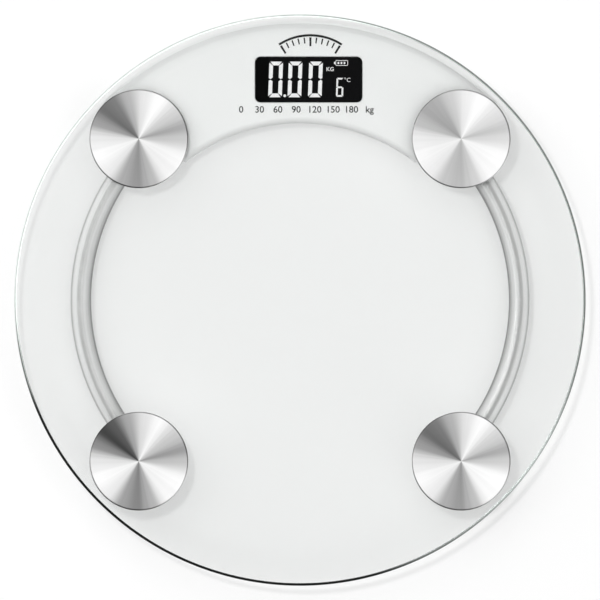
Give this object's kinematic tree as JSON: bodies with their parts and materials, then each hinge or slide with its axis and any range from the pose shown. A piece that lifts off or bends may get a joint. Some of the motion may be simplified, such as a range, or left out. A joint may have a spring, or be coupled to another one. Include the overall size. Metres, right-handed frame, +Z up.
{
  "type": "digital bathroom scale",
  "caption": "Round tempered-glass bathroom scale with steel caps over load-cell feet, side tubes and a crescent housing with a digital display.",
  "frame": {"origin": "on the floor plane, under the middle of the round glass", "axes": "+Z up, +Y towards the display, which is the front, +X to the right of a person who faces the display"},
  "size_m": [0.33, 0.33, 0.0296],
  "materials": {
    "clear_glass": "clear tempered glass with polished rounded rims",
    "spun_steel": "stainless steel, turned with fine concentric lines",
    "foam_tape": "white double-sided foam tape",
    "white_abs": "white moulded ABS with a light sheen",
    "foot_rubber": "pale grey soft rubber, ringed underneath",
    "satin_tube": "satin silver drawn tube",
    "spring_steel": "stamped spring steel, nickel plated",
    "cable_sheath": "white PVC sheath",
    "window_black": "black gloss printed window",
    "lcd_glass": "dark display glass",
    "light_guide": "white acrylic light guide",
    "elastomer": "pink striped elastomer strip",
    "board_green": "green solder-masked fibreglass",
    "epoxy_black": "black epoxy",
    "button_grey": "grey moulded ABS",
    "coin_steel": "nickel-plated steel can",
    "contact_plate": "nickel-plated spring strip",
    "black_lead": "black PVC wire",
    "red_lead": "red PVC wire",
    "screw_steel": "zinc-plated steel"
  },
  "bodies": {
    "platform": {"glass_platform": "clear_glass", "display_housing": "white_abs", "display_cover": "white_abs", "display_window": "window_black", "lcd_panel": "lcd_glass", "backlight": "light_guide", "lcd_connector_rear": "elastomer", "lcd_connector_front": "elastomer", "main_board": "board_green", "controller_blob": "epoxy_black", "unit_switch": "epoxy_black", "coin_cell": "coin_steel", "battery_contact_negative": "contact_plate", "battery_contact_positive": "contact_plate", "battery_lead_negative": "black_lead", "battery_lead_positive": "red_lead", "cap_front_left": "spun_steel", "cap_tape_front_left": "foam_tape", "foot_housing_front_left": "white_abs", "load_cell_front_left": "spring_steel", "cap_front_right": "spun_steel", "cap_tape_front_right": "foam_tape", "foot_housing_front_right": "white_abs", "load_cell_front_right": "spring_steel", "cap_rear_left": "spun_steel", "cap_tape_rear_left": "foam_tape", "foot_housing_rear_left": "white_abs", "load_cell_rear_left": "spring_steel", "cap_rear_right": "spun_steel", "cap_tape_rear_right": "foam_tape", "foot_housing_rear_right": "white_abs", "load_cell_rear_right": "spring_steel", "side_tube_left": "satin_tube", "sensor_cable_front_left": "cable_sheath", "sensor_cable_rear_left": "cable_sheath", "side_tube_right": "satin_tube", "sensor_cable_front_right": "cable_sheath", "sensor_cable_rear_right": "cable_sheath", "cover_screw_1": "screw_steel", "cover_screw_2": "screw_steel", "cover_screw_3": "screw_steel", "cover_screw_4": "screw_steel", "cover_screw_5": "screw_steel", "cover_screw_6": "screw_steel", "board_screw_1": "screw_steel", "board_screw_2": "screw_steel", "board_screw_3": "screw_steel", "board_screw_4": "screw_steel"},
    "battery_door": {"battery_door": "white_abs"},
    "unit_button": {"unit_button": "button_grey"},
    "foot_front_left": {"foot_cup_front_left": "white_abs", "foot_pad_front_left": "foot_rubber"},
    "foot_front_right": {"foot_cup_front_right": "white_abs", "foot_pad_front_right": "foot_rubber"},
    "foot_rear_left": {"foot_cup_rear_left": "white_abs", "foot_pad_rear_left": "foot_rubber"},
    "foot_rear_right": {"foot_cup_rear_right": "white_abs", "foot_pad_rear_right": "foot_rubber"}
  },
  "joints": [
    {"name": "battery_door_hinge", "type": "hinge", "parent": "platform", "child": "battery_door", "pos_m": [0.04756, 0.11213, 0.0058], "axis": [-0.9206, 0.3904, 0], "range_deg": [0, 95]},
    {"name": "unit_button_press", "type": "slide", "parent": "platform", "child": "unit_button", "axis": [0, 0, 1], "range_m": [0, 0.0008], "stiffness_N_per_m": 500},
    {"name": "foot_front_left_press", "type": "slide", "parent": "platform", "child": "foot_front_left", "axis": [0, 0, 1], "range_m": [0, 0.0003], "stiffness_N_per_m": 5000, "springref_m": -0.001},
    {"name": "foot_front_right_press", "type": "slide", "parent": "platform", "child": "foot_front_right", "axis": [0, 0, 1], "range_m": [0, 0.0003], "stiffness_N_per_m": 5000, "springref_m": -0.001},
    {"name": "foot_rear_left_press", "type": "slide", "parent": "platform", "child": "foot_rear_left", "axis": [0, 0, 1], "range_m": [0, 0.0003], "stiffness_N_per_m": 5000, "springref_m": -0.001},
    {"name": "foot_rear_right_press", "type": "slide", "parent": "platform", "child": "foot_rear_right", "axis": [0, 0, 1], "range_m": [0, 0.0003], "stiffness_N_per_m": 5000, "springref_m": -0.001}
  ]
}
